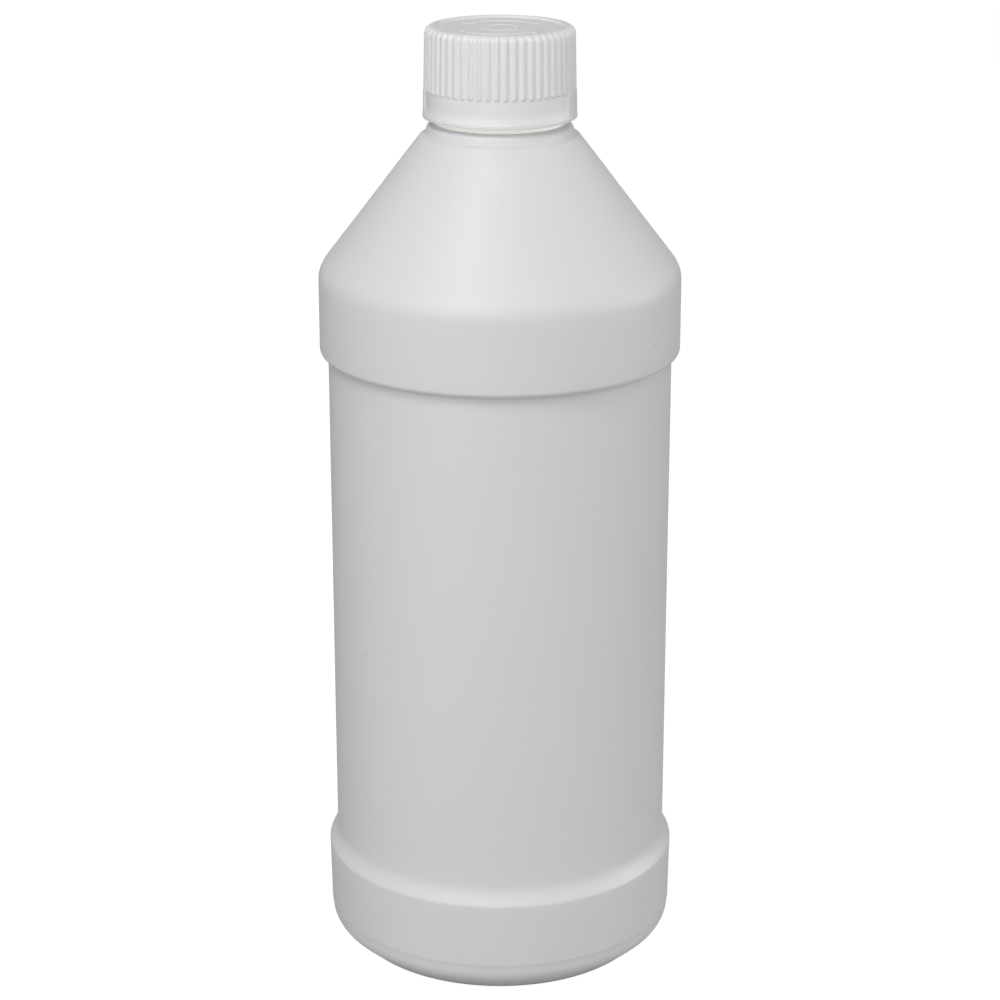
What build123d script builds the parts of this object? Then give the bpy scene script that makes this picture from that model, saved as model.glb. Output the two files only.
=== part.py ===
from build123d import *
import os
from math import cos, hypot, radians, sin, tan

# A round white bottle of about one litre, closed by a push-and-turn screw cap. Millimetres, Z up,
# and the origin is on the bottle's axis at the level of its standing ring.

# Blown shell, from the standing ring up to the top of the shoulder cone
wall = 1.1
foot_width = 3.2
foot_round = 1.5
base_rise = 4.0
base_slope_width = 5.0
base_round = 3.0
heel_width = 6.5
heel_height = 5.05
heel_round = 5.0
lower_band_radius = 43.0
lower_band_taper = 0.3
lower_band_height = 24.7
lower_band_round = 1.5
step_height = 3.8
step_round = 7.0
panel_length = 122.6
ledge_depth = 2.0
ledge_drop = 0.25
ledge_round = 0.7
upper_band_radius = 43.0
upper_band_height = 20.0
ledge_edge_round = 1.4
shoulder_round = 7.8
cone_height = 31.8
cone_top_round = 1.0

# Collar and threaded neck
collar_overhang = 2.0
collar_ledge_width = 1.4
collar_foot_rise = 0.4
collar_height = 2.3
collar_lean = 0.5
collar_foot_round = 0.8
collar_round = 1.7
neck_base_gap = 0.4
neck_base_height = 2.2
neck_height = 14.1
neck_taper_height = 0.8
neck_wall = 1.6
bore_throat_round = 2.5
rim_round = 0.35

# Screw thread, right-handed, and the running clearances of the closure
root_overlap = 0.25
thread_pitch = 25.4 / 6
thread_turns = 1.5
thread_root_radius = 12.5
thread_depth = 1.2
thread_root_width = 2.4
thread_tip_width = 1.2
thread_below_rim = 2.9
cap_thread_turns = 1.25
cap_thread_depth = 1.1
cap_thread_root_width = 2.2
cap_thread_tip_width = 1.0
thread_clearance = 0.25
thread_flank_gap = 0.3

# Sealing disc and threaded inner cap
liner_thickness = 1.0
liner_side_gap = 0.35
inner_wall = 1.25
inner_top_thickness = 1.4
inner_top_round = 1.2
skirt_gap = 0.15
flange_depth = 0.45
flange_height = 0.9

# Dogs that take up the turn when the outer cap is pushed down
dog_count = 12
dog_height = 1.6
dog_width = 2.2
dog_length = 3.6
dog_margin = 0.8
dog_bevel = 0.9
dog_rest_gap = 0.3

# Fluted outer cap
shell_clearance = 0.25
cap_wall = 1.6
cap_top_thickness = 2.0
cap_recess_depth = 0.5
cap_recess_round = 0.4
cap_rim_width = 2.55
cap_top_round = 1.7
cap_draft = 1.25
cap_bottom_rise = 1.35
flute_count = 54
flute_height = 0.4
flute_bar_radius = 0.72
band_height = 6.2
lip_height = 2.4
lip_land = 0.8
lip_overhang = 0.1
lip_round = 0.35
lip_blend_round = 5.0
bead_rise = 1.5
bead_height = 0.8
bead_depth = 0.45
bead_gap = 0.3
pad_half_angle = 20.0
pad_turn = -9.5
pad_height = 6.25
pad_round = 0.3
pad_rise = 0.05

# Raised turning arrows on the recessed top of the cap
arrow_height = 0.3
arrow_radius = 10.0
arrow_width = 1.3
arrow_sweep = 105.0
arrow_head_sweep = 18.0
arrow_head_width = 3.4
ring_radius = 4.6
ring_width = 0.9

# Levels that follow from the sizes above
panel_bottom = lower_band_height + step_height
panel_top = panel_bottom + panel_length
shoulder_level = panel_top + upper_band_height
cone_top = shoulder_level + cone_height
collar_foot = cone_top + collar_foot_rise
collar_top = collar_foot + collar_height
rim_level = collar_top + neck_height
liner_top = rim_level + liner_thickness
inner_top = liner_top + inner_top_thickness
skirt_end = collar_top + skirt_gap
ceiling_level = inner_top + dog_height + dog_rest_gap + dog_height
recess_level = ceiling_level + cap_top_thickness
cap_top = recess_level + cap_recess_depth
cap_bottom = skirt_end + cap_bottom_rise
bead_top = cap_bottom + bead_rise + bead_height
flange_bottom = bead_top + bead_gap

# Radii that follow from the sizes above
panel_radius = upper_band_radius - ledge_depth
foot_outer_radius = lower_band_radius - heel_width
thread_radius = thread_root_radius + thread_depth
inner_bore = thread_radius + thread_clearance
inner_radius = inner_bore + inner_wall
flange_radius = inner_radius + flange_depth
shell_bore = flange_radius + shell_clearance
bead_radius = shell_bore - bead_depth
bore_radius = thread_root_radius - neck_wall
neck_base_radius = inner_bore - neck_base_gap
collar_radius = inner_radius + collar_overhang
cone_top_radius = collar_radius + collar_ledge_width
dog_outer_radius = inner_radius - inner_top_round - dog_margin
cap_crest_radius = shell_bore + cap_wall + flute_height
lip_radius = cap_crest_radius + lip_overhang


def corner_arc(before, corner, after, radius):
    """Start, middle and end of the arc that rounds a corner of an outline."""
    into = Vector(before[0] - corner[0], before[1] - corner[1]).normalized()
    out = Vector(after[0] - corner[0], after[1] - corner[1]).normalized()
    half = radians(into.get_angle(out)) / 2
    reach = radius / tan(half)
    vertex = Vector(corner[0], corner[1])
    middle = vertex + (into + out).normalized() * (radius / sin(half) - radius)
    return vertex + into * reach, middle, vertex + out * reach


def outline_edges(corners):
    """Edges of an open outline in the XZ plane, from corners given as radius, height, rounding."""
    edges = []
    here = Vector(corners[0][0], corners[0][1])
    for before, corner, after in zip(corners, corners[1:], corners[2:]):
        start = middle = end = Vector(corner[0], corner[1])
        if corner[2] > 0:
            start, middle, end = corner_arc(before, corner, after, corner[2])
        edges.append(Edge.make_line((here.X, 0, here.Y), (start.X, 0, start.Y)))
        if corner[2] > 0:
            points = [(p.X, 0, p.Y) for p in (start, middle, end)]
            edges.append(Edge.make_three_point_arc(*points))
        here = end
    edges.append(Edge.make_line((here.X, 0, here.Y), (corners[-1][0], 0, corners[-1][1])))
    return edges


def turned(corners):
    """Solid of revolution about the Z axis, from a closed outline of rounded corners."""
    first = (corners[0][0], 0, corners[0][1])
    last = (corners[-1][0], 0, corners[-1][1])
    edges = outline_edges(corners) + [Edge.make_line(last, first)]
    return revolve(Face(Wire(edges)), Axis.Z)


def inset(corners, amount):
    """The same outline moved to its left by amount, with its roundings kept concentric."""
    lines = []
    for a, b in zip(corners, corners[1:]):
        length = hypot(b[0] - a[0], b[1] - a[1])
        step = ((b[0] - a[0]) / length, (b[1] - a[1]) / length)
        shift = (-step[1] * amount, step[0] * amount)
        lines.append((a[0] + shift[0], a[1] + shift[1], step[0], step[1]))
    moved = [(lines[0][0], lines[0][1], 0)]
    for first, second, corner in zip(lines, lines[1:], corners[1:]):
        cross = first[2] * second[3] - first[3] * second[2]
        gap = (second[0] - first[0], second[1] - first[1])
        along = (gap[0] * second[3] - gap[1] * second[2]) / cross
        rounding = corner[2] - amount if cross > 0 else corner[2] + amount
        spot = (first[0] + first[2] * along, first[1] + first[3] * along)
        moved.append((spot[0], spot[1], max(rounding, 0) if corner[2] > 0 else 0))
    end = lines[-1]
    run = hypot(corners[-1][0] - corners[-2][0], corners[-1][1] - corners[-2][1])
    moved.append((end[0] + end[2] * run, end[1] + end[3] * run, 0))
    return moved


def body_outline():
    """Outside of the blown shell, from the middle of the base to the top of the cone."""
    foot_inner = foot_outer_radius - foot_width
    return [
        (0, base_rise, 0),
        (foot_inner - base_slope_width, base_rise, base_round),
        (foot_inner, 0, foot_round),
        (foot_outer_radius, 0, foot_round),
        (lower_band_radius - lower_band_taper, heel_height, heel_round),
        (lower_band_radius, lower_band_height, lower_band_round),
        (panel_radius, panel_bottom, step_round),
        (panel_radius, panel_top - ledge_drop, ledge_round),
        (upper_band_radius, panel_top, ledge_edge_round),
        (upper_band_radius, shoulder_level, shoulder_round),
        (cone_top_radius, cone_top, cone_top_round),
    ]


def thread_ridge(root, tip, root_width, tip_width, turns, start):
    """Helical ridge between two radii, whose middle starts at the given height."""
    side = [(root, -root_width / 2), (root, root_width / 2), (tip, tip_width / 2), (tip, -tip_width / 2)]
    path = Helix(thread_pitch, thread_pitch * turns, min(root, tip))
    section = Wire.make_polygon([(r, 0, z) for r, z in side])
    ridge = sweep(Face(section), path=path, is_frenet=True)
    return Pos(0, 0, start) * ridge


def make_bottle():
    """Blown shell with its collar, threaded neck and bore, in one piece."""
    taper_end = collar_top + neck_base_height + neck_taper_height
    neck = [
        (collar_radius + collar_lean / 2, collar_foot, collar_foot_round),
        (collar_radius - collar_lean / 2, collar_top, collar_round),
        (neck_base_radius, collar_top, 0),
        (neck_base_radius, collar_top + neck_base_height, 0),
        (thread_root_radius, taper_end, 0),
        (thread_root_radius, rim_level, rim_round),
        (0, rim_level, 0),
    ]
    outside = turned(body_outline() + neck)
    hollow = inset(body_outline(), wall)[:-1]
    cone_step = (upper_band_radius - cone_top_radius) / cone_height
    throat = cone_top - wall
    throat_radius = hollow[-1][0] - (throat - hollow[-1][1]) * cone_step
    hollow += [(throat_radius, throat, bore_throat_round), (bore_radius, collar_foot, rim_round)]
    hollow += [(bore_radius, rim_level + wall, 0), (0, rim_level + wall, 0)]
    start = rim_level - thread_below_rim - thread_pitch * thread_turns
    root = thread_root_radius - root_overlap
    ridge = thread_ridge(root, thread_radius, thread_root_width, thread_tip_width, thread_turns, start)
    return outside + ridge - turned(hollow)


def make_liner():
    """Soft disc that seals the rim of the neck."""
    radius = inner_bore - liner_side_gap
    return Pos(0, 0, rim_level + liner_thickness / 2) * Cylinder(radius, liner_thickness)


def dog(level, up):
    """One driving tooth, square on one side and bevelled on the other."""
    half = dog_width / 2
    side = [(-half, 0), (half, 0), (half, dog_height), (-half + dog_bevel, dog_height)]
    side.append((-half, dog_height - dog_bevel))
    points = [(dog_outer_radius - dog_length, y * up, level + z * up) for y, z in side]
    return extrude(Face(Wire.make_polygon(points)), dog_length, dir=(1, 0, 0))


def dogs(level, up, offset):
    """Ring of driving teeth, standing up or hanging down."""
    pitch = 360 / dog_count
    return [Rot(0, 0, i * pitch + offset) * dog(level, up) for i in range(dog_count)]


def make_inner_cap():
    """Threaded cap that carries the liner and stays on the neck."""
    outline = [
        (0, liner_top, 0),
        (inner_bore, liner_top, 0),
        (inner_bore, skirt_end, 0),
        (inner_radius, skirt_end, 0),
        (inner_radius, flange_bottom, 0),
        (flange_radius, flange_bottom, 0),
        (flange_radius, flange_bottom + flange_height, 0),
        (inner_radius, flange_bottom + flange_height + flange_depth, 0),
        (inner_radius, inner_top, inner_top_round),
        (0, inner_top, 0),
    ]
    top_of_neck_ridge = rim_level - thread_below_rim
    lane = (thread_root_width + thread_tip_width + cap_thread_root_width + cap_thread_tip_width) / 4
    start = top_of_neck_ridge - thread_pitch * (thread_turns - 1) - lane - thread_flank_gap
    root = inner_bore + root_overlap
    tip = inner_bore - cap_thread_depth
    ridge = thread_ridge(root, tip, cap_thread_root_width, cap_thread_tip_width, cap_thread_turns, start)
    return turned(outline) + ridge + dogs(inner_top, 1, 0)


def crest_radius(level):
    """Radius of the flute crests, which follow the draft of the mould."""
    return cap_crest_radius - (level - cap_bottom) * tan(radians(cap_draft))


def skin_radius(level):
    """Radius of the plain skin between the flutes."""
    return crest_radius(level) - flute_height


def flute_bar(angle):
    """One rounded rib, from the band up past the top edge, with a rounded foot."""
    foot = cap_bottom + band_height + flute_bar_radius
    length = cap_top + flute_bar_radius - foot
    bar = Cylinder(flute_bar_radius, length, align=(Align.CENTER, Align.CENTER, Align.MIN))
    bar += Sphere(flute_bar_radius)
    spot = Pos(crest_radius(foot) - flute_bar_radius, 0, foot) * Rot(0, -cap_draft, 0)
    return Rot(0, 0, angle) * spot * bar


def cap_pad(angle):
    """Smooth panel on the band, just proud of the flute crests, that shows where to grip."""
    low = cap_bottom + lip_land - lip_round
    high = low + pad_height
    inner = skin_radius(high) - root_overlap
    outline = [(inner, low, 0), (crest_radius(low) + pad_rise, low, 0)]
    outline += [(crest_radius(high) + pad_rise, high, pad_round), (inner, high, 0)]
    edges = outline_edges(outline) + [Edge.make_line((inner, 0, high), (inner, 0, low))]
    panel = revolve(Face(Wire(edges)), Axis.Z, revolution_arc=2 * pad_half_angle)
    return Rot(0, 0, angle - pad_half_angle) * panel


def cap_envelope():
    """Outer limit of the fluted part. It rounds the top edge and stands clear of the crests below."""
    band_top = cap_bottom + band_height
    clear = flute_height / 8
    return turned([
        (0, cap_bottom, 0),
        (lip_radius + cap_wall, cap_bottom, 0),
        (lip_radius + cap_wall, band_top, 0),
        (crest_radius(band_top) + clear, band_top, 0),
        (crest_radius(cap_top) + clear, cap_top, cap_top_round),
        (0, cap_top, 0),
    ])


def turn_arrow(angle):
    """Curved arrow that points the way the cap unscrews."""
    half = arrow_width / 2
    outer = arrow_radius + half
    inner = arrow_radius - half
    shaft = Face(Wire([
        Edge.make_line((inner, 0, 0), (outer, 0, 0)),
        Edge.make_circle(outer, start_angle=0, end_angle=arrow_sweep),
        Edge.make_line(turn_point(outer, arrow_sweep), turn_point(inner, arrow_sweep)),
        Edge.make_circle(inner, start_angle=0, end_angle=arrow_sweep),
    ]))
    spread = arrow_head_width / 2
    head = Face(Wire.make_polygon([
        turn_point(arrow_radius - spread, arrow_sweep - 1),
        turn_point(arrow_radius + spread, arrow_sweep - 1),
        turn_point(arrow_radius, arrow_sweep + arrow_head_sweep),
    ]))
    solid = extrude(shaft, arrow_height * 2, dir=(0, 0, 1)) + extrude(head, arrow_height * 2, dir=(0, 0, 1))
    return Pos(0, 0, recess_level - arrow_height) * Rot(0, 0, angle) * solid


def turn_point(radius, angle):
    """Point on a circle about the Z axis, at height zero."""
    return (radius * cos(radians(angle)), radius * sin(radians(angle)), 0)


def top_marks():
    """Two turning arrows about a plain raised ring."""
    ring = Cylinder(ring_radius, arrow_height * 2) - Cylinder(ring_radius - ring_width, arrow_height * 2)
    return [turn_arrow(30), turn_arrow(210), Pos(0, 0, recess_level) * ring]


def make_outer_cap():
    """Fluted shell that turns freely until it is pushed down on the inner cap."""
    lip_top = cap_bottom + lip_height
    recess_radius = crest_radius(cap_top) - cap_rim_width
    skin = turned([
        (0, recess_level, 0),
        (0, cap_bottom, 0),
        (lip_radius, cap_bottom, lip_round),
        (lip_radius, cap_bottom + lip_land, lip_round),
        (skin_radius(lip_top), lip_top, lip_blend_round),
        (skin_radius(cap_top), cap_top, cap_top_round),
        (recess_radius, cap_top, cap_recess_round / 2),
        (recess_radius - cap_recess_round, recess_level, cap_recess_round),
    ])
    bars = [flute_bar(i * 360 / flute_count) for i in range(flute_count)]
    ribbed = (skin + bars) & cap_envelope()
    recess = turned([
        (0, recess_level, 0),
        (recess_radius - cap_recess_round, recess_level, 0),
        (recess_radius, cap_top, 0),
        (recess_radius, cap_top + cap_recess_depth, 0),
        (0, cap_top + cap_recess_depth, 0),
    ])
    hollow = turned([
        (0, cap_bottom - cap_wall, 0),
        (shell_bore, cap_bottom - cap_wall, 0),
        (shell_bore, bead_top - bead_height - bead_depth, 0),
        (bead_radius, bead_top - bead_height, 0),
        (bead_radius, bead_top, 0),
        (shell_bore, bead_top, 0),
        (shell_bore, ceiling_level, inner_top_round),
        (0, ceiling_level, 0),
    ])
    shell = ribbed - recess + [cap_pad(pad_turn), cap_pad(180 + pad_turn)] - hollow
    return shell + dogs(ceiling_level, -1, 180 / dog_count) + top_marks()


os.makedirs("parts", exist_ok=True)
nodes = {
    "bottle": make_bottle,
    "cap_liner": make_liner,
    "inner_cap": make_inner_cap,
    "outer_cap": make_outer_cap,
}
for name, make in nodes.items():
    export_step(make(), "parts/" + name + ".step")
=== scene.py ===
import bpy
import bmesh
import math
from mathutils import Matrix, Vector, noise


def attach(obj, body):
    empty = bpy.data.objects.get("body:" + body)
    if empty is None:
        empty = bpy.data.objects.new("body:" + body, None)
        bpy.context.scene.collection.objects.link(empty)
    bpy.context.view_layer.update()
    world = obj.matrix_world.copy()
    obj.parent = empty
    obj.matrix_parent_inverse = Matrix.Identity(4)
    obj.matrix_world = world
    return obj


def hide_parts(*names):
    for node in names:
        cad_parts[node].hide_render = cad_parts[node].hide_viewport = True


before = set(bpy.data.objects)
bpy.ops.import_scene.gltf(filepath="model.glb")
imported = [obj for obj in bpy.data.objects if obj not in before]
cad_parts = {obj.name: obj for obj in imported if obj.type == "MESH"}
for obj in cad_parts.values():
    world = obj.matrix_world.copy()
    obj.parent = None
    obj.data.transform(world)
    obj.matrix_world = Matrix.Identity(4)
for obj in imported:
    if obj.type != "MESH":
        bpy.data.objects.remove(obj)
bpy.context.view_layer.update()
print("frame loaded:", sorted(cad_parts))

mm = 0.001


# Shared shape tools. Outlines are lists of corners: radius, height and rounding, in millimetres.

def arcPoints(before, corner, after, radius):
    spot = Vector(corner[:2])
    back = (Vector(before[:2]) - spot).normalized()
    ahead = (Vector(after[:2]) - spot).normalized()
    half = back.angle(ahead) / 2
    centre = spot + (back + ahead).normalized() * (radius / math.sin(half))
    first = spot + back * (radius / math.tan(half)) - centre
    last = spot + ahead * (radius / math.tan(half)) - centre
    turn = first.angle_signed(last)
    steps = max(3, math.ceil(abs(math.degrees(turn)) / 9))
    points = []
    for i in range(steps + 1):
        share = turn * i / steps
        c, s = math.cos(share), math.sin(share)
        points.append(centre + Vector((first.x * c + first.y * s, first.y * c - first.x * s)))
    return points


def roundedPath(corners, step=None):
    path = [Vector(corners[0][:2])]
    for before, corner, after in zip(corners, corners[1:], corners[2:]):
        stop = [Vector(corner[:2])]
        if corner[2] > 0:
            stop = arcPoints(before, corner, after, corner[2])
        path += stop
    path.append(Vector(corners[-1][:2]))
    if step is None:
        return path
    fine = [path[0]]
    for here in path[1:]:
        start = fine[-1]
        parts = max(1, math.ceil((here - start).length / step))
        fine += [start.lerp(here, i / parts) for i in range(1, parts + 1)]
    return fine


def insetCorners(corners, amount):
    runs = []
    for a, b in zip(corners, corners[1:]):
        way = (Vector(b[:2]) - Vector(a[:2])).normalized()
        runs.append((Vector(a[:2]) + Vector((-way.y, way.x)) * amount, way))
    moved = [(runs[0][0].x, runs[0][0].y, 0)]
    for (p, u), (q, v), corner in zip(runs, runs[1:], corners[1:]):
        cross = u.x * v.y - u.y * v.x
        gap = q - p
        spot = p + u * ((gap.x * v.y - gap.y * v.x) / cross)
        radius = corner[2] - amount if cross > 0 else corner[2] + amount
        moved.append((spot.x, spot.y, max(radius, 0.15) if corner[2] > 0 else 0))
    end = Vector(corners[-1][:2]) + runs[-1][0] - Vector(corners[-2][:2])
    moved.append((end.x, end.y, 0))
    return moved


def lathe(bm, path, angles, push=None):
    # Closed skin of revolution; push gives how far a point moves out, from its angle and place
    rings = []
    for spot in path:
        if spot.x < 1e-6:
            rings.append([bm.verts.new((0, 0, spot.y * mm))])
            continue
        ring = []
        for angle in angles:
            r = spot.x + (push(angle, spot) if push else 0)
            ring.append(bm.verts.new((r * math.cos(angle) * mm, r * math.sin(angle) * mm, spot.y * mm)))
        rings.append(ring)
    for low, high in zip(rings, rings[1:]):
        count = len(angles)
        for i in range(count):
            j = (i + 1) % count
            if len(low) == 1 and len(high) == 1:
                continue
            if len(low) == 1:
                bm.faces.new((low[0], high[j], high[i]))
            elif len(high) == 1:
                bm.faces.new((low[i], low[j], high[0]))
            else:
                bm.faces.new((low[i], low[j], high[j], high[i]))


def evenAngles(count):
    return [2 * math.pi * i / count for i in range(count)]


def smoothStep(value, low, high):
    share = min(max((value - low) / (high - low), 0), 1)
    return share * share * (3 - 2 * share)


def helixRidge(bm, root, tip, rootWidth, tipWidth, pitch, turns, start, fade=28):
    # Screw ridge whose two ends run out softly over the angle fade, in degrees
    count = math.ceil(96 * turns)
    rings = []
    for i in range(count + 1):
        share = i / count
        angle = 2 * math.pi * turns * share
        fromEnd = min(share, 1 - share) * 360 * turns
        rise = smoothStep(fromEnd, -2, fade)
        crown = root + (tip - root) * (0.12 + 0.88 * rise)
        middle = start + pitch * turns * share
        side = (crown - root) * 0.12
        section = [
            (root, -rootWidth / 2), (crown - side * 1.5, -tipWidth / 2 - 0.06),
            (crown, -tipWidth / 2 + 0.16), (crown, tipWidth / 2 - 0.16),
            (crown - side * 1.5, tipWidth / 2 + 0.06), (root, rootWidth / 2),
        ]
        rings.append([
            bm.verts.new((r * math.cos(angle) * mm, r * math.sin(angle) * mm, (middle + z) * mm))
            for r, z in section
        ])
    size = len(rings[0])
    for a, b in zip(rings, rings[1:]):
        for k in range(size):
            n = (k + 1) % size
            bm.faces.new((a[k], a[n], b[n], b[k]))
    bm.faces.new(rings[0])
    bm.faces.new(list(reversed(rings[-1])))


def slab(bm, outline, low, high, soften):
    # Upright block over a flat outline in millimetres, with softened edges
    base = [bm.verts.new((x * mm, y * mm, low * mm)) for x, y in outline]
    face = bm.faces.new(base)
    made = bmesh.ops.extrude_face_region(bm, geom=[face])
    top = [v for v in made["geom"] if isinstance(v, bmesh.types.BMVert)]
    bmesh.ops.translate(bm, verts=top, vec=(0, 0, (high - low) * mm))
    topSet = set(top)
    edges = {e for v in top for e in v.link_edges if all(w in topSet for w in e.verts)}
    sides = {e for v in top for e in v.link_edges if e not in edges}
    sharp = [e for e in sides if e.calc_face_angle(0) > math.radians(25)]
    bmesh.ops.bevel(bm, geom=list(edges) + sharp, offset=soften * mm, segments=3, profile=0.5,
                    affect="EDGES", clamp_overlap=True)


def addPiece(name, bm, material, body, node):
    bmesh.ops.remove_doubles(bm, verts=bm.verts, dist=1e-8)
    bmesh.ops.recalc_face_normals(bm, faces=bm.faces)
    mesh = bpy.data.meshes.new(name)
    bm.to_mesh(mesh)
    bm.free()
    mesh.polygons.foreach_set("use_smooth", [True] * len(mesh.polygons))
    mesh.set_sharp_from_angle(angle=math.radians(38))
    mesh.materials.append(material)
    piece = bpy.data.objects.new(name, mesh)
    bpy.context.scene.collection.objects.link(piece)
    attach(piece, body)
    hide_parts(node)
    print(name, "made,", len(mesh.polygons), "faces")
    return piece


# Camera, placed by the outline of the bottle in the photograph

cameraFit = {
    "distance": 0.6340,      # in front of the bottle's axis, metres
    "height": 0.3272,        # above the surface that the bottle stands on
    "pitch": 0.3260,         # downward, radians
    "focal": 2.7512,         # focal length in picture widths
    "sensor": 36.0,
}

cameraData = bpy.data.cameras.new("photoCamera")
cameraData.sensor_width = cameraFit["sensor"]
cameraData.lens = cameraFit["sensor"] * cameraFit["focal"]
cameraData.clip_start = 0.01
cameraData.clip_end = 30
camera = bpy.data.objects.new("photoCamera", cameraData)
camera.location = (0, -cameraFit["distance"], cameraFit["height"])
camera.rotation_euler = (math.pi / 2 - cameraFit["pitch"], 0, 0)
bpy.context.scene.collection.objects.link(camera)
bpy.context.scene.camera = camera


# Materials

def startMaterial(name):
    material = bpy.data.materials.new(name)
    material.use_nodes = True
    nodes = material.node_tree.nodes
    shader = nodes["Principled BSDF"]
    return material, nodes, material.node_tree.links, shader


def noiseNode(nodes, links, place, scale, detail, stretch=(1, 1, 1)):
    mapping = nodes.new("ShaderNodeMapping")
    mapping.inputs["Scale"].default_value = stretch
    links.new(place.outputs["Object"], mapping.inputs["Vector"])
    texture = nodes.new("ShaderNodeTexNoise")
    texture.inputs["Scale"].default_value = scale
    texture.inputs["Detail"].default_value = detail
    texture.inputs["Roughness"].default_value = 0.55
    links.new(mapping.outputs["Vector"], texture.inputs["Vector"])
    return texture


def rangeNode(nodes, links, source, low, high, toLow, toHigh):
    ranger = nodes.new("ShaderNodeMapRange")
    ranger.inputs["From Min"].default_value = low
    ranger.inputs["From Max"].default_value = high
    ranger.inputs["To Min"].default_value = toLow
    ranger.inputs["To Max"].default_value = toHigh
    links.new(source, ranger.inputs["Value"])
    return ranger


def bumpNode(nodes, links, height, distance, strength, below=None):
    bump = nodes.new("ShaderNodeBump")
    bump.inputs["Distance"].default_value = distance
    bump.inputs["Strength"].default_value = strength
    links.new(height, bump.inputs["Height"])
    if below:
        links.new(below.outputs["Normal"], bump.inputs["Normal"])
    return bump


def mixColour(nodes, links, factor, first, second):
    mix = nodes.new("ShaderNodeMix")
    mix.data_type = "RGBA"
    links.new(factor, mix.inputs["Factor"])
    for socket, value in ((mix.inputs["A"], first), (mix.inputs["B"], second)):
        if isinstance(value, tuple):
            socket.default_value = (*value, 1)
        else:
            links.new(value, socket)
    return mix


bottleFinish = {
    "pale": (0.705, 0.709, 0.722),
    "deep": (0.678, 0.682, 0.694),
    "speck": (0.36, 0.35, 0.33),
    "roughLow": 0.41,
    "roughHigh": 0.52,
    "grainScale": 1500,
    "waveScale": 38,
    "patchScale": 90,
    "streakScale": 160,
    "grainHeight": 0.00006,
    "streakHeight": 0.00020,
    "speckScale": 100,
    "speckSize": (0.016, 0.034),
    "speckShare": 0.50,
    "speckDepth": 0.75,
}


def bottlePlastic(look):
    # Satin polyethylene: faint cloudiness, a fine blown grain, and a few specks of dust
    material, nodes, links, shader = startMaterial("satinPolyethylene")
    place = nodes.new("ShaderNodeTexCoord")
    cloud = noiseNode(nodes, links, place, look["waveScale"], 3, (1, 1, 0.35))
    base = mixColour(nodes, links, cloud.outputs["Fac"], look["deep"], look["pale"])

    cells = nodes.new("ShaderNodeTexVoronoi")
    cells.inputs["Scale"].default_value = look["speckScale"]
    links.new(place.outputs["Object"], cells.inputs["Vector"])
    near = rangeNode(nodes, links, cells.outputs["Distance"], *look["speckSize"], 1, 0)
    pick = nodes.new("ShaderNodeSeparateColor")
    links.new(cells.outputs["Color"], pick.inputs["Color"])
    share = look["speckShare"]
    some = rangeNode(nodes, links, pick.outputs["Red"], share, share + 0.02, 0, look["speckDepth"])
    both = nodes.new("ShaderNodeMath")
    both.operation = "MULTIPLY"
    links.new(near.outputs["Result"], both.inputs[0])
    links.new(some.outputs["Result"], both.inputs[1])
    speckled = mixColour(nodes, links, both.outputs["Value"], base.outputs["Result"], look["speck"])
    links.new(speckled.outputs["Result"], shader.inputs["Base Color"])

    patch = noiseNode(nodes, links, place, look["patchScale"], 4, (1, 1, 0.5))
    rough = rangeNode(nodes, links, patch.outputs["Fac"], 0.3, 0.7, look["roughLow"], look["roughHigh"])
    links.new(rough.outputs["Result"], shader.inputs["Roughness"])

    grain = noiseNode(nodes, links, place, look["grainScale"], 2)
    streak = noiseNode(nodes, links, place, look["streakScale"], 3, (1, 1, 0.12))
    fine = bumpNode(nodes, links, grain.outputs["Fac"], look["grainHeight"], 0.22)
    wavy = bumpNode(nodes, links, streak.outputs["Fac"], look["streakHeight"], 0.10, fine)
    links.new(wavy.outputs["Normal"], shader.inputs["Normal"])
    shader.inputs["IOR"].default_value = 1.50
    shader.inputs["Subsurface Weight"].default_value = 0.25
    shader.inputs["Subsurface Radius"].default_value = (1.0, 0.95, 0.9)
    shader.inputs["Subsurface Scale"].default_value = 0.0012
    return material


capFinish = {
    "pale": (0.762, 0.762, 0.759),
    "deep": (0.740, 0.741, 0.739),
    "roughLow": 0.38,
    "roughHigh": 0.46,
    "grainScale": 2600,
    "soft": 0.12,            # how much light passes into the plastic
    "softDepth": 0.0006,
}


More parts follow.
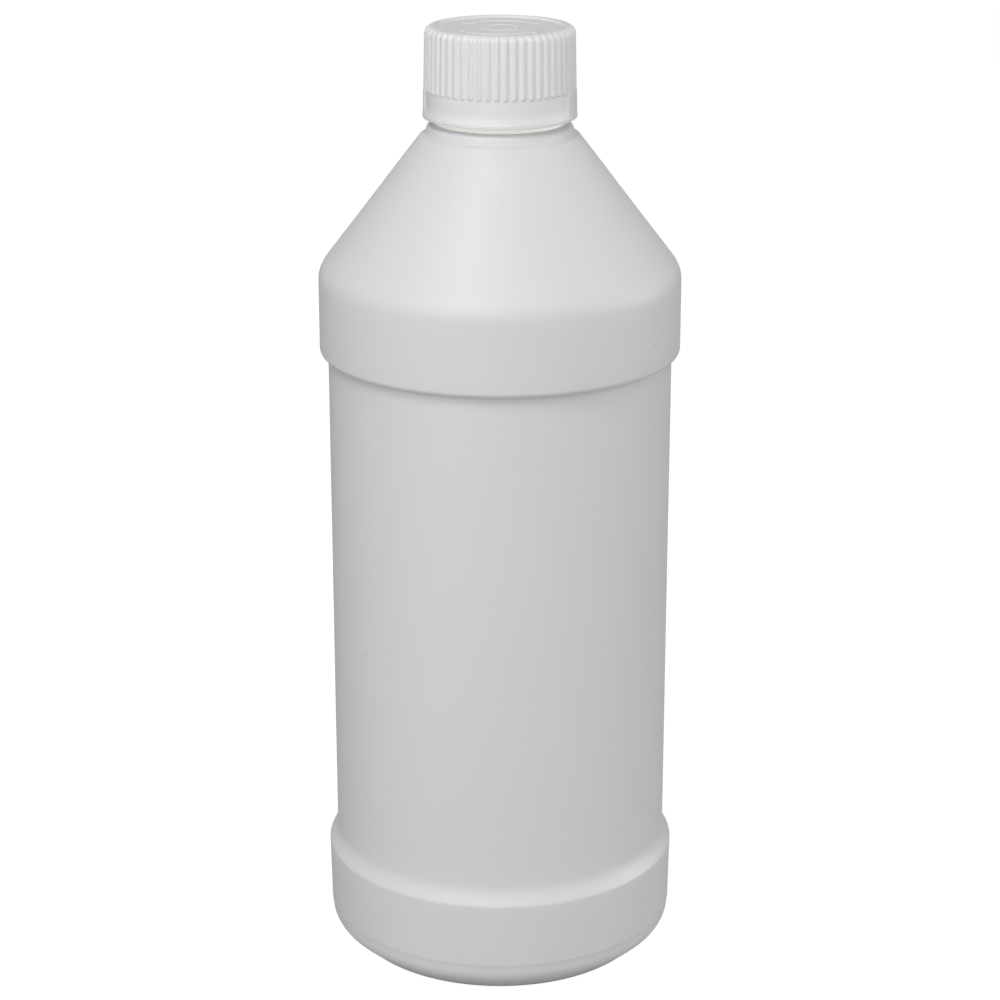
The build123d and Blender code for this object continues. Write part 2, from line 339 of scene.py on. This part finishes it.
def mouldedPlastic(name, look):
    # Injection-moulded polypropylene, glossier than the bottle, with a very fine grain
    material, nodes, links, shader = startMaterial(name)
    place = nodes.new("ShaderNodeTexCoord")
    cloud = noiseNode(nodes, links, place, 120, 3)
    base = mixColour(nodes, links, cloud.outputs["Fac"], look["deep"], look["pale"])
    links.new(base.outputs["Result"], shader.inputs["Base Color"])
    patch = noiseNode(nodes, links, place, 260, 3)
    rough = rangeNode(nodes, links, patch.outputs["Fac"], 0.3, 0.7, look["roughLow"], look["roughHigh"])
    links.new(rough.outputs["Result"], shader.inputs["Roughness"])
    grain = noiseNode(nodes, links, place, look["grainScale"], 2)
    flow = noiseNode(nodes, links, place, 300, 2)
    fine = bumpNode(nodes, links, grain.outputs["Fac"], 0.00003, 0.15)
    soft = bumpNode(nodes, links, flow.outputs["Fac"], 0.00008, 0.10, fine)
    links.new(soft.outputs["Normal"], shader.inputs["Normal"])
    shader.inputs["IOR"].default_value = 1.49
    shader.inputs["Subsurface Weight"].default_value = look["soft"]
    shader.inputs["Subsurface Radius"].default_value = (1.0, 1.0, 0.95)
    shader.inputs["Subsurface Scale"].default_value = look["softDepth"]
    # Painted light: with a glow in the look, the lower part of the piece emits light that fades upward,
    # standing in for light through thin skirts
    if "glow" in look:
        split = nodes.new("ShaderNodeSeparateXYZ")
        links.new(place.outputs["Object"], split.inputs["Vector"])
        fade = rangeNode(nodes, links, split.outputs["Z"], look["glowLow"], look["glowHigh"], look["glow"], 0)
        links.new(fade.outputs["Result"], shader.inputs["Emission Strength"])
        shader.inputs["Emission Color"].default_value = (*look["pale"], 1)
    return material


innerFinish = {
    "pale": (0.845, 0.855, 0.805),
    "deep": (0.815, 0.825, 0.775),
    "roughLow": 0.32,
    "roughHigh": 0.42,
    "grainScale": 2200,
    "soft": 0.70,
    "softDepth": 0.0030,
    "glow": 0.36,            # painted glow: emission standing in for light that comes through the thin skirts at the foot of the cap
    "glowLow": 0.2068,
    "glowHigh": 0.2092,
}

linerFinish = {
    "pale": (0.80, 0.80, 0.78),
    "deep": (0.74, 0.74, 0.72),
    "roughLow": 0.62,
    "roughHigh": 0.80,
    "grainScale": 1100,
    "soft": 0.12,
    "softDepth": 0.0006,
}

bottleMaterial = bottlePlastic(bottleFinish)
capMaterial = mouldedPlastic("whitePolypropylene", capFinish)
innerMaterial = mouldedPlastic("naturalPolypropylene", innerFinish)
linerMaterial = mouldedPlastic("softLinerFoam", linerFinish)
print("materials ready")


# Screw thread, shared by the neck and the inner cap

thread = {
    "pitch": 25.4 / 6,
    "neckTurns": 1.5,
    "neckRoot": 12.5,
    "neckDepth": 1.2,
    "neckRootWidth": 2.4,
    "neckTipWidth": 1.2,
    "belowRim": 2.9,
    "capTurns": 1.25,
    "capDepth": 1.1,
    "capRootWidth": 2.2,
    "capTipWidth": 1.0,
    "radialGap": 0.25,
    "flankGap": 0.3,
    "overlap": 0.25,
}
threadRadius = thread["neckRoot"] + thread["neckDepth"]
capBore = threadRadius + thread["radialGap"]


# Bottle: one blown shell, made as a closed skin with its hollow and its neck thread

bottle = {
    "wall": 1.1,
    "baseRise": 4.0,
    "baseSlope": 5.0,
    "slopeRound": 3.0,
    "footWidth": 3.2,
    "footRound": 1.5,
    "heelWidth": 6.5,
    "heelHeight": 5.05,
    "heelRound": 5.0,
    "heelLine": 8.7,         # parting line of the base of the mould
    "heelLineDepth": 0.12,
    "heelLineHeight": 0.2,
    "heelLean": 0.3,         # how far the heel draws in below its parting line
    "heelLeanRound": 4.6,
    "lowerRadius": 43.0,
    "lowerTaper": 0.3,
    "lowerHeight": 24.7,
    "lowerRound": 1.5,
    "stepHeight": 2.9,
    "stepRound": 6.0,
    "panelRadius": 41.0,
    "panelLength": 123.5,
    "ledgeDrop": 0.15,
    "ledgeRound": 0.7,
    "ledgeEdgeRound": 1.4,
    "upperRadius": 43.0,
    "upperHeight": 20.0,
    "shoulderRound": 7.8,
    "coneHeight": 31.8,
    "coneTopRadius": 18.6,
    "coneTopRound": 1.0,
    "collarRadius": 17.2,
    "collarRise": 0.4,
    "collarHeight": 2.3,
    "collarLean": 0.5,
    "collarFootRound": 0.8,
    "collarTopRound": 1.7,
    "neckBaseRadius": 13.55,
    "neckBaseHeight": 2.2,
    "neckTaper": 0.8,
    "neckHeight": 14.1,
    "rimRound": 0.35,
    "throatRound": 2.5,
    "bore": 10.9,
    "rowStep": 5,
    "columns": 288,
    "seamHeight": 0.05,      # mould parting line on the two sides
    "seamWidth": 0.5,
    "seamEnd": 20,           # the seam stops at this radius, below the collar
    "waver": 0.06,           # how far the blown wall wanders inward
    "waverAround": 1.6,      # size of the waver around the body, and up it
    "waverUp": 42,
}
panelBottom = bottle["lowerHeight"] + bottle["stepHeight"]
panelTop = panelBottom + bottle["panelLength"]
shoulderLevel = panelTop + bottle["upperHeight"]
coneTop = shoulderLevel + bottle["coneHeight"]
collarFoot = coneTop + bottle["collarRise"]
collarTop = collarFoot + bottle["collarHeight"]
rimLevel = collarTop + bottle["neckHeight"]


def bodyCorners(withLine):
    footOuter = bottle["lowerRadius"] - bottle["heelWidth"]
    footInner = footOuter - bottle["footWidth"]
    base = [
        (0, bottle["baseRise"], 0),
        (footInner - bottle["baseSlope"], bottle["baseRise"], bottle["slopeRound"]),
        (footInner, 0, bottle["footRound"]),
        (footOuter, 0, bottle["footRound"]),
    ]
    heelRadius = bottle["lowerRadius"] - bottle["lowerTaper"]
    heel = [(heelRadius, bottle["heelHeight"], bottle["heelRound"])]
    if withLine:
        under = heelRadius - bottle["heelLineDepth"]
        heel = [
            (under - bottle["heelLean"], bottle["heelHeight"], bottle["heelLeanRound"]),
            (under, bottle["heelLine"] - bottle["heelLineHeight"], 0.05),
            (heelRadius, bottle["heelLine"], 0.1),
        ]
    return base + heel + [
        (bottle["lowerRadius"], bottle["lowerHeight"], bottle["lowerRound"]),
        (bottle["panelRadius"], panelBottom, bottle["stepRound"]),
        (bottle["panelRadius"], panelTop - bottle["ledgeDrop"], bottle["ledgeRound"]),
        (bottle["upperRadius"], panelTop, bottle["ledgeEdgeRound"]),
        (bottle["upperRadius"], shoulderLevel, bottle["shoulderRound"]),
        (bottle["coneTopRadius"], coneTop, bottle["coneTopRound"]),
    ]


def bottleAngles():
    # Even columns, with extra ones across the two parting lines
    angles = evenAngles(bottle["columns"])
    for side in (0, math.pi):
        for reach in (0.25, 0.5, 0.8):
            offset = bottle["seamWidth"] * reach / bottle["panelRadius"]
            angles += [(side + offset) % (2 * math.pi), (side - offset) % (2 * math.pi)]
    return sorted(angles)


def bottlePush(angle, spot):
    fromSeam = min(abs(math.sin(angle)), 1) * spot.x
    seam = bottle["seamHeight"] * (1 - smoothStep(fromSeam, 0, bottle["seamWidth"] * 0.8))
    if spot.x < bottle["seamEnd"] or spot.y < bottle["footRound"]:
        seam = 0
    around = bottle["waverAround"]
    place = Vector((math.cos(angle) * around, math.sin(angle) * around, spot.y / bottle["waverUp"]))
    drift = noise.noise(place) * 0.5 + noise.noise(place * 2.7) * 0.2
    calm = smoothStep(spot.y, 2, 12) * (1 - smoothStep(spot.y, coneTop - 20, coneTop - 4))
    return (seam - bottle["seamHeight"] - bottle["waver"] * (0.6 + drift)) * calm


def makeBottle():
    body = bodyCorners(True)
    neck = [
        (bottle["collarRadius"] + bottle["collarLean"] / 2, collarFoot, bottle["collarFootRound"]),
        (bottle["collarRadius"] - bottle["collarLean"] / 2, collarTop, bottle["collarTopRound"]),
        (bottle["neckBaseRadius"], collarTop, 0.3),
        (bottle["neckBaseRadius"], collarTop + bottle["neckBaseHeight"], 0.4),
        (thread["neckRoot"], collarTop + bottle["neckBaseHeight"] + bottle["neckTaper"], 0.6),
        (thread["neckRoot"], rimLevel, bottle["rimRound"]),
        (bottle["bore"], rimLevel, bottle["rimRound"]),
    ]
    hollow = insetCorners(bodyCorners(False), bottle["wall"])[:-1]
    slope = (bottle["upperRadius"] - bottle["coneTopRadius"]) / bottle["coneHeight"]
    throat = coneTop - bottle["wall"]
    throatRadius = hollow[-1][0] - (throat - hollow[-1][1]) * slope
    inside = [(bottle["bore"], collarFoot, bottle["rimRound"]), (throatRadius, throat, bottle["throatRound"])]
    inside += list(reversed(hollow))
    bm = bmesh.new()
    path = roundedPath(body + neck + inside, bottle["rowStep"])
    lathe(bm, path, bottleAngles(), bottlePush)
    start = rimLevel - thread["belowRim"] - thread["pitch"] * thread["neckTurns"]
    helixRidge(bm, thread["neckRoot"] - thread["overlap"], threadRadius, thread["neckRootWidth"],
               thread["neckTipWidth"], thread["pitch"], thread["neckTurns"], start)
    return addPiece("bottleShell", bm, bottleMaterial, "bottle", "bottle")


makeBottle()


# Closure levels and radii, from the rim of the neck up

closure = {
    "linerThickness": 1.0,
    "linerGap": 0.35,
    "innerWall": 1.25,
    "innerTop": 1.4,
    "skirtGap": 0.15,
    "shellRise": 1.35,
    "beadTop": 2.3,
    "beadGap": 0.3,
    "flangeDepth": 0.45,
    "flangeHeight": 0.9,
    "shellGap": 0.25,
    "shellWall": 1.6,
    "topThickness": 2.0,
    "dogHeight": 1.6,
    "dogGap": 0.3,
}
linerTop = rimLevel + closure["linerThickness"]
innerTop = linerTop + closure["innerTop"]
ceilingLevel = innerTop + 2 * closure["dogHeight"] + closure["dogGap"]
recessLevel = ceilingLevel + closure["topThickness"]
skirtEnd = collarTop + closure["skirtGap"]
capBottom = skirtEnd + closure["shellRise"]
innerRadius = capBore + closure["innerWall"]
flangeRadius = innerRadius + closure["flangeDepth"]
shellBore = flangeRadius + closure["shellGap"]


# Driving dogs of the two caps

dog = {
    "count": 12,
    "width": 2.2,
    "length": 3.6,
    "outer": innerRadius - 2.0,
    "bevel": 0.9,
    "sunk": 0.1,             # how far a dog reaches into the wall that carries it
    "soften": 0.15,
}


def addDogs(bm, level, up, turn):
    half = dog["width"] / 2
    high = closure["dogHeight"]
    side = [
        (-half, -dog["sunk"]),
        (half, -dog["sunk"]),
        (half, high),
        (dog["bevel"] - half, high),
        (-half, high - dog["bevel"]),
    ]
    for i in range(dog["count"]):
        angle = math.radians(360 / dog["count"] * i + turn)
        ends = []
        for reach in (dog["outer"] - dog["length"], dog["outer"]):
            ring = []
            for across, rise in side:
                x = reach * math.cos(angle) - across * up * math.sin(angle)
                y = reach * math.sin(angle) + across * up * math.cos(angle)
                ring.append(bm.verts.new((x * mm, y * mm, (level + rise * up) * mm)))
            ends.append(ring)
        faces = [bm.faces.new(ends[0]), bm.faces.new(list(reversed(ends[1])))]
        for k in range(len(side)):
            n = (k + 1) % len(side)
            faces.append(bm.faces.new((ends[0][k], ends[1][k], ends[1][n], ends[0][n])))
        edges = {e for f in faces for e in f.edges}
        bmesh.ops.bevel(bm, geom=list(edges), offset=dog["soften"] * mm, segments=2, profile=0.5,
                        affect="EDGES")


# Liner

def makeLiner():
    radius = capBore - closure["linerGap"]
    corners = [(0, rimLevel, 0), (radius, rimLevel, 0.15), (radius, linerTop, 0.15), (0, linerTop, 0)]
    bm = bmesh.new()
    lathe(bm, roundedPath(corners), evenAngles(128))
    return addPiece("linerDisc", bm, linerMaterial, "liner", "cap_liner")


makeLiner()


# Inner cap, with its own thread

def makeInnerCap():
    bottomOfFlange = capBottom + closure["beadTop"] + closure["beadGap"]
    corners = [
        (0, linerTop, 0),
        (capBore, linerTop, 0.2),
        (capBore, skirtEnd, 0.25),
        (innerRadius, skirtEnd, 0.05),
        (innerRadius, bottomOfFlange, 0.1),
        (flangeRadius, bottomOfFlange, 0.12),
        (flangeRadius, bottomOfFlange + closure["flangeHeight"], 0.2),
        (innerRadius, bottomOfFlange + closure["flangeHeight"] + closure["flangeDepth"], 0.2),
        (innerRadius, innerTop, 1.2),
        (0, innerTop, 0),
    ]
    bm = bmesh.new()
    lathe(bm, roundedPath(corners), evenAngles(192))
    widths = ("neckRootWidth", "neckTipWidth", "capRootWidth", "capTipWidth")
    lane = sum(thread[w] for w in widths) / 4
    below = thread["pitch"] * (thread["neckTurns"] - 1) + lane + thread["flankGap"]
    start = rimLevel - thread["belowRim"] - below
    helixRidge(bm, capBore + thread["overlap"], capBore - thread["capDepth"], thread["capRootWidth"],
               thread["capTipWidth"], thread["pitch"], thread["capTurns"], start)
    addDogs(bm, innerTop, 1, 0)
    return addPiece("innerCapShell", bm, innerMaterial, "inner_cap", "inner_cap")


makeInnerCap()


# Outer cap: fluted shell with a plain band, two grip pads, a small lip and a recessed top

outerCap = {
    "recessDepth": 0.5,
    "rimWidth": 2.55,
    "topRound": 1.7,
    "draft": 1.25,
    "fluteCount": 54,
    "fluteTurn": 0.8,        # degrees that the ribs are turned by
    "fluteHeight": 0.4,
    "fluteRadius": 0.72,
    "fluteFillet": 0.06,     # where a rib meets the skin
    "bandHeight": 6.2,
    "lipHeight": 2.4,
    "lipLand": 0.8,
    "lipBlend": 5.0,
    "lipOverhang": 0.1,
    "padHalfAngle": 20.0,
    "padTurn": -9.5,          # degrees from the right side, so that one pad faces the camera a little
    "padHeight": 6.25,
    "padRise": 0.05,
    "padRound": 0.35,
    "beadHeight": 0.8,
    "beadDepth": 0.45,
    "ringRadius": 4.6,
    "ringWidth": 0.9,
    "markHeight": 0.14,
    "arrowRadius": 10.0,
    "arrowWidth": 1.3,
    "arrowSweep": 105.0,
    "headSweep": 18.0,
    "headWidth": 3.4,
    "columnsPerFlute": 10,
}
capTop = recessLevel + outerCap["recessDepth"]
crestAtBottom = shellBore + closure["shellWall"] + outerCap["fluteHeight"]
fluteFoot = capBottom + outerCap["bandHeight"] + outerCap["fluteRadius"]
lipTop = capBottom + outerCap["lipHeight"]
lipLand = capBottom + outerCap["lipLand"]


def skinRadius(level):
    drop = (level - capBottom) * math.tan(math.radians(outerCap["draft"]))
    return crestAtBottom - drop - outerCap["fluteHeight"]


def flutePush(angle, spot):
    # Rounded ribs with domed feet, standing on the skin
    pitch = 2 * math.pi / outerCap["fluteCount"]
    around = angle - math.radians(outerCap["fluteTurn"])
    across = ((around / pitch + 0.5) % 1 - 0.5) * pitch * spot.x
    below = max(fluteFoot - spot.y, 0)
    bar = outerCap["fluteRadius"]
    inside = bar * bar - across * across - below * below
    rise = outerCap["fluteHeight"] - bar + math.sqrt(inside) if inside > 0 else -1
    root = outerCap["fluteFillet"]
    return math.sqrt(rise * rise + root * root) / 2 + rise / 2 if rise > -0.6 else 0


def padPush(angle, spot):
    # Smooth grip panels that face the two sides, just proud of the ribs
    low = lipLand - outerCap["padRound"]
    around = angle - math.radians(outerCap["padTurn"])
    turn = abs(math.degrees(math.atan2(math.sin(around), abs(math.cos(around)))))
    side = 1 - smoothStep(turn, outerCap["padHalfAngle"] - 1.8, outerCap["padHalfAngle"] + 0.6)
    top = low + outerCap["padHeight"]
    under = 1 - smoothStep(spot.y, top - outerCap["padRound"], top)
    lean = max(skinRadius(spot.y) + outerCap["fluteHeight"] + outerCap["padRise"] - spot.x, 0)
    return side * under * lean


def shellPush(angle, spot):
    edge = skinRadius(capTop) - outerCap["topRound"] - 0.01
    outside = spot.x > shellBore + 0.5 or (spot.y > ceilingLevel + 0.5 and spot.x > edge)
    if not outside or spot.y < lipLand - 0.36:
        return 0
    rib = 0
    if spot.y > capBottom + outerCap["bandHeight"] - 0.2:
        rib = flutePush(angle, spot)
    return max(rib, padPush(angle, spot))


def shellPath():
    ring = outerCap["ringRadius"]
    inner = ring - outerCap["ringWidth"]
    raised = recessLevel + outerCap["markHeight"]
    recess = skinRadius(capTop) + outerCap["fluteHeight"] - outerCap["rimWidth"]
    lip = crestAtBottom + outerCap["lipOverhang"]
    bandTop = capBottom + outerCap["bandHeight"]
    beadTop = capBottom + closure["beadTop"]
    beadLow = beadTop - outerCap["beadHeight"]
    beadRadius = shellBore - outerCap["beadDepth"]
    top = [
        (0, recessLevel + 0.08, 0),
        (0.7, recessLevel + 0.08, 0.1),
        (1.0, recessLevel, 0.1),
        (inner - 0.1, recessLevel, 0.08),
        (inner + 0.05, raised, 0.08),
        (ring - 0.05, raised, 0.08),
        (ring + 0.1, recessLevel, 0.08),
        (recess - 0.4, recessLevel, 0.4),
        (recess, capTop, 0.2),
        (skinRadius(capTop), capTop, outerCap["topRound"]),
        (skinRadius(bandTop + 2), bandTop + 2, 0),
    ]
    feet = [top[-1], (skinRadius(bandTop - 0.3), bandTop - 0.3, 0)]
    skirt = [
        feet[-1],
        (skinRadius(lipTop), lipTop, outerCap["lipBlend"]),
        (lip, lipLand, 0.3),
        (lip, lipLand - 0.3, 0),
    ]
    hollow = [
        skirt[-1],
        (lip, capBottom, 0.22),
        (shellBore, capBottom, 0.2),
        (shellBore, beadLow - outerCap["beadDepth"], 0.2),
        (beadRadius, beadLow, 0.12),
        (beadRadius, beadTop, 0.12),
        (shellBore, beadTop, 0.12),
        (shellBore, ceilingLevel, 1.2),
        (0, ceilingLevel, 0),
    ]
    path = roundedPath(top)
    for stretch, step in ((feet, 0.13), (skirt, 0.45), (hollow, None)):
        path += roundedPath(stretch, step)[1:]
    return path


def arrowOutline(turn):
    half = outerCap["arrowWidth"] / 2
    spread = outerCap["headWidth"] / 2
    radius = outerCap["arrowRadius"]
    sweep = outerCap["arrowSweep"]
    steps = 40
    points = [(radius + half, sweep * i / steps) for i in range(steps + 1)]
    points += [(radius + spread, sweep), (radius, sweep + outerCap["headSweep"]), (radius - spread, sweep)]
    points += [(radius - half, sweep * i / steps) for i in range(steps, -1, -1)]
    return [(r * math.cos(math.radians(a + turn)), r * math.sin(math.radians(a + turn))) for r, a in points]


def makeOuterCap():
    bm = bmesh.new()
    columns = outerCap["fluteCount"] * outerCap["columnsPerFlute"]
    angles = [angle + math.radians(outerCap["fluteTurn"]) for angle in evenAngles(columns)]
    lathe(bm, shellPath(), angles, shellPush)
    addDogs(bm, ceilingLevel, -1, 180 / dog["count"])
    addPiece("outerCapShell", bm, capMaterial, "outer_cap", "outer_cap")
    marks = bmesh.new()
    for turn in (30, 210):
        slab(marks, arrowOutline(turn), recessLevel - 0.3, recessLevel + outerCap["markHeight"], 0.1)
    addPiece("turningArrows", marks, capMaterial, "outer_cap", "outer_cap")


makeOuterCap()


# Floor, world and lamps

studio = {
    "floorGlow": 0.94,       # what the camera sees of the floor without light on it
    "floorTint": 0.20,       # and how much of the light on it, which keeps the shadow
    "floorBounce": 0.5,
    "ambient": 0.305,
    "glossWhite": 0.50,      # how bright the white room is in reflections
    "lamps": {               # degrees from the camera, height angle, metres away, size, watts
        "frontSoftbox": (-22, 28, 1.0, 0.9, 4.6),
        "leftLamp": (-30, 55, 1.4, 0.45, 5.4),
        "rightLamp": (21, 50, 1.4, 0.35, 1.1),
        "lowLamp": (27, 2, 1.4, 0.35, 0.7),
        "sideFill": (97, 6, 1.4, 0.8, 6.8),
    },
}


def makeFloor():
    bm = bmesh.new()
    bmesh.ops.create_grid(bm, x_segments=1, y_segments=1, size=12)
    mesh = bpy.data.meshes.new("studioFloor")
    bm.to_mesh(mesh)
    bm.free()
    floor = bpy.data.objects.new("studioFloor", mesh)
    floor.location = (0, 0, -0.0001)
    bpy.context.scene.collection.objects.link(floor)
    material = bpy.data.materials.new("paleFloor")
    material.use_nodes = True
    nodes, links = material.node_tree.nodes, material.node_tree.links
    nodes.clear()
    out = nodes.new("ShaderNodeOutputMaterial")
    seen = nodes.new("ShaderNodeLightPath")
    glow = nodes.new("ShaderNodeEmission")
    glow.inputs["Strength"].default_value = studio["floorGlow"]
    tint = nodes.new("ShaderNodeBsdfDiffuse")
    tint.inputs["Color"].default_value = (studio["floorTint"],) * 3 + (1,)
    bounce = nodes.new("ShaderNodeBsdfDiffuse")
    bounce.inputs["Color"].default_value = (studio["floorBounce"],) * 3 + (1,)
    add = nodes.new("ShaderNodeAddShader")
    mix = nodes.new("ShaderNodeMixShader")
    links.new(glow.outputs["Emission"], add.inputs[0])
    links.new(tint.outputs["BSDF"], add.inputs[1])
    links.new(seen.outputs["Is Camera Ray"], mix.inputs["Fac"])
    links.new(bounce.outputs["BSDF"], mix.inputs[1])
    links.new(add.outputs["Shader"], mix.inputs[2])
    links.new(mix.outputs["Shader"], out.inputs["Surface"])
    mesh.materials.append(material)


def makeWorld():
    world = bpy.data.worlds.new("studioWorld")
    bpy.context.scene.world = world
    world.use_nodes = True
    nodes, links = world.node_tree.nodes, world.node_tree.links
    nodes.clear()
    out = nodes.new("ShaderNodeOutputWorld")
    seen = nodes.new("ShaderNodeLightPath")
    room = nodes.new("ShaderNodeBackground")
    room.inputs["Color"].default_value = (1, 1, 1, 1)
    level = studio["ambient"]
    gloss = rangeNode(nodes, links, seen.outputs["Is Glossy Ray"], 0, 1, level, studio["glossWhite"])
    through = rangeNode(nodes, links, seen.outputs["Is Transmission Ray"], 0, 1, 0, 1)
    view = rangeNode(nodes, links, seen.outputs["Is Camera Ray"], 0, 1, 0, 1)
    brightest = gloss
    for other in (through, view):
        pick = nodes.new("ShaderNodeMath")
        pick.operation = "MAXIMUM"
        links.new(brightest.outputs[0], pick.inputs[0])
        links.new(other.outputs["Result"], pick.inputs[1])
        brightest = pick
    links.new(brightest.outputs["Value"], room.inputs["Strength"])
    links.new(room.outputs["Background"], out.inputs["Surface"])


def makeLamps():
    aim = Vector((0, 0, 0.13))
    for name, (turn, rise, away, size, power) in studio["lamps"].items():
        data = bpy.data.lights.new(name, "AREA")
        data.shape = "SQUARE"
        data.size = size
        data.energy = power
        lamp = bpy.data.objects.new(name, data)
        a, e = math.radians(turn), math.radians(rise)
        way = Vector((math.sin(a) * math.cos(e), -math.cos(a) * math.cos(e), math.sin(e)))
        lamp.location = aim + way * away
        lamp.rotation_mode = "QUATERNION"
        lamp.rotation_quaternion = way.to_track_quat("Z", "Y")
        bpy.context.scene.collection.objects.link(lamp)


makeFloor()
makeWorld()
makeLamps()
bpy.context.scene.view_settings.view_transform = "Standard"
print("studio ready")
